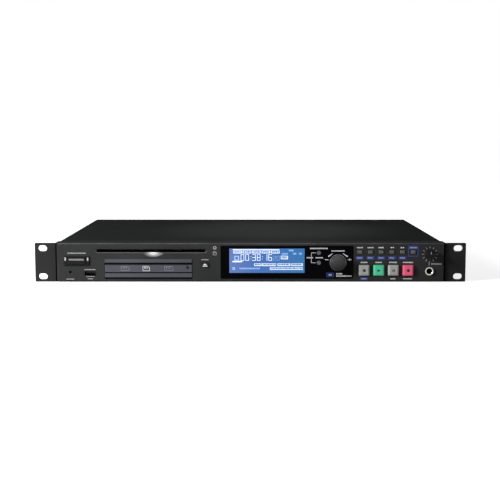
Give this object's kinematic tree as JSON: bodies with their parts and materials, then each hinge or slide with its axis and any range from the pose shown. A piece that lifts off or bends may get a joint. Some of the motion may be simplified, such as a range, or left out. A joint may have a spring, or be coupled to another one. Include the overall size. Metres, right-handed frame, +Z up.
{
  "type": "compact disc recorder",
  "caption": "One-unit rack recorder with a slot-in disc drive, memory-card flap, blue display, push-and-turn dial, lit transport keys and folded rack ears.",
  "frame": {"origin": "middle of the chassis pan's underside", "axes": "+X to the viewer's right, -Y out of the front panel, +Z up"},
  "size_m": [0.4826, 0.3254, 0.0437],
  "materials": {
    "case_paint": "fine matt black paint on steel sheet",
    "ear_paint": "matt black paint on folded steel",
    "screw_black": "black plated screws",
    "fascia_plastic": "moulded fascia, fine grained satin charcoal",
    "bezel_plastic": "moulded bezel, satin charcoal",
    "door_plastic": "moulded flap, satin blue grey",
    "window_gloss": "polished black window",
    "lcd_glass": "lit blue display behind the window",
    "power_key_plastic": "moulded key with a light strip",
    "dark_key": "moulded dark key",
    "grey_key": "moulded light grey key",
    "pale_key": "moulded grey key",
    "green_key": "lit green key",
    "red_key": "lit red key",
    "dial_metal": "dark grey satin dial",
    "knob_black": "moulded black knob",
    "circuit_board": "green circuit board",
    "bare_steel": "bare steel",
    "component_black": "moulded black plastic",
    "socket_ring": "plated ring on a moulded jack",
    "rubber_roller": "black rubber",
    "standoff_brass": "turned brass",
    "inlet_black": "moulded black inlet",
    "socket_metal": "plated socket shells",
    "phono_plastic": "moulded block with plated barrels"
  },
  "bodies": {
    "case": {"chassis_pan": "case_paint", "top_cover": "case_paint", "rear_panel": "case_paint", "left_rack_ear": "ear_paint", "right_rack_ear": "ear_paint", "ear_screws": "screw_black", "cover_screws": "screw_black", "front_fascia": "fascia_plastic", "power_bezel": "bezel_plastic", "display_window": "window_gloss", "lcd_module": "lcd_glass", "front_board": "circuit_board", "side_board": "circuit_board", "main_board": "circuit_board", "power_supply_board": "circuit_board", "drive_deck": "bare_steel", "drive_lid": "bare_steel", "usb_socket": "bare_steel", "tact_switches": "component_black", "power_switch": "component_black", "jog_encoder": "component_black", "level_pot": "component_black", "remote_jack": "component_black", "card_slot_unit": "component_black", "slot_guide": "component_black", "disc_clamp": "component_black", "phones_jack": "socket_ring", "board_standoffs": "standoff_brass", "mains_inlet": "inlet_black", "balanced_inputs": "socket_metal", "balanced_outputs": "socket_metal", "sync_socket": "socket_metal", "control_ports": "socket_metal", "phono_sockets": "phono_plastic"},
    "eject_key": {"eject_key": "dark_key"},
    "menu_key": {"menu_key": "grey_key"},
    "display_key": {"display_key": "grey_key"},
    "function_key_1": {"function_key_1": "grey_key"},
    "function_key_2": {"function_key_2": "grey_key"},
    "function_key_3": {"function_key_3": "grey_key"},
    "function_key_4": {"function_key_4": "grey_key"},
    "function_key_5": {"function_key_5": "grey_key"},
    "function_key_6": {"function_key_6": "grey_key"},
    "stop_key": {"stop_key": "pale_key"},
    "play_key": {"play_key": "green_key"},
    "pause_key": {"pause_key": "pale_key"},
    "record_key": {"record_key": "red_key"},
    "power_key": {"power_key": "power_key_plastic"},
    "jog_shaft": {"jog_shaft": "bare_steel"},
    "jog_dial": {"jog_dial": "dial_metal"},
    "level_knob": {"level_knob": "knob_black"},
    "card_door": {"card_door": "door_plastic"},
    "feed_roller": {"feed_roller": "rubber_roller"},
    "lift_frame": {"lift_frame": "bare_steel", "sled_rods": "bare_steel", "spindle_motor": "bare_steel"},
    "turntable": {"turntable": "component_black"},
    "pickup_sled": {"pickup_sled": "component_black"}
  },
  "joints": [
    {"name": "eject_key_press", "type": "slide", "parent": "case", "child": "eject_key", "axis": [0, 1, 0], "range_m": [0, 0.0005], "stiffness_N_per_m": 1200},
    {"name": "menu_key_press", "type": "slide", "parent": "case", "child": "menu_key", "axis": [0, 1, 0], "range_m": [0, 0.0005], "stiffness_N_per_m": 1200},
    {"name": "display_key_press", "type": "slide", "parent": "case", "child": "display_key", "axis": [0, 1, 0], "range_m": [0, 0.0005], "stiffness_N_per_m": 1200},
    {"name": "function_key_1_press", "type": "slide", "parent": "case", "child": "function_key_1", "axis": [0, 1, 0], "range_m": [0, 0.0005], "stiffness_N_per_m": 1200},
    {"name": "function_key_2_press", "type": "slide", "parent": "case", "child": "function_key_2", "axis": [0, 1, 0], "range_m": [0, 0.0005], "stiffness_N_per_m": 1200},
    {"name": "function_key_3_press", "type": "slide", "parent": "case", "child": "function_key_3", "axis": [0, 1, 0], "range_m": [0, 0.0005], "stiffness_N_per_m": 1200},
    {"name": "function_key_4_press", "type": "slide", "parent": "case", "child": "function_key_4", "axis": [0, 1, 0], "range_m": [0, 0.0005], "stiffness_N_per_m": 1200},
    {"name": "function_key_5_press", "type": "slide", "parent": "case", "child": "function_key_5", "axis": [0, 1, 0], "range_m": [0, 0.0005], "stiffness_N_per_m": 1200},
    {"name": "function_key_6_press", "type": "slide", "parent": "case", "child": "function_key_6", "axis": [0, 1, 0], "range_m": [0, 0.0005], "stiffness_N_per_m": 1200},
    {"name": "stop_key_press", "type": "slide", "parent": "case", "child": "stop_key", "axis": [0, 1, 0], "range_m": [0, 0.0005], "stiffness_N_per_m": 1200},
    {"name": "play_key_press", "type": "slide", "parent": "case", "child": "play_key", "axis": [0, 1, 0], "range_m": [0, 0.0005], "stiffness_N_per_m": 1200},
    {"name": "pause_key_press", "type": "slide", "parent": "case", "child": "pause_key", "axis": [0, 1, 0], "range_m": [0, 0.0005], "stiffness_N_per_m": 1200},
    {"name": "record_key_press", "type": "slide", "parent": "case", "child": "record_key", "axis": [0, 1, 0], "range_m": [0, 0.0005], "stiffness_N_per_m": 1200},
    {"name": "power_key_press", "type": "slide", "parent": "case", "child": "power_key", "axis": [0, 1, 0], "range_m": [0, 0.0016], "stiffness_N_per_m": 1000},
    {"name": "jog_push", "type": "slide", "parent": "case", "child": "jog_shaft", "axis": [0, 1, 0], "range_m": [0, 0.0005], "stiffness_N_per_m": 2000},
    {"name": "jog_turn", "type": "hinge", "parent": "jog_shaft", "child": "jog_dial", "pos_m": [0.0978, -0.1539, 0.0222], "axis": [0, -1, 0], "continuous": true},
    {"name": "level_turn", "type": "hinge", "parent": "case", "child": "level_knob", "pos_m": [0.2004, -0.1535, 0.0313], "axis": [0, -1, 0], "range_deg": [-150, 150]},
    {"name": "card_door_hinge", "type": "hinge", "parent": "case", "child": "card_door", "pos_m": [-0.114, -0.1515, 0.0061], "axis": [1, 0, 0], "range_deg": [0, 95]},
    {"name": "feed_roller_turn", "type": "hinge", "parent": "case", "child": "feed_roller", "pos_m": [-0.11075, -0.1293, 0.0302], "axis": [1, 0, 0], "continuous": true},
    {"name": "platter_lift", "type": "slide", "parent": "case", "child": "lift_frame", "axis": [0, 0, 1], "range_m": [0, 0.003]},
    {"name": "turntable_spin", "type": "hinge", "parent": "lift_frame", "child": "turntable", "pos_m": [-0.11075, -0.0648, 0.0306], "axis": [0, 0, 1], "continuous": true},
    {"name": "sled_slide", "type": "slide", "parent": "lift_frame", "child": "pickup_sled", "axis": [0, 1, 0], "range_m": [0, 0.026]}
  ]
}
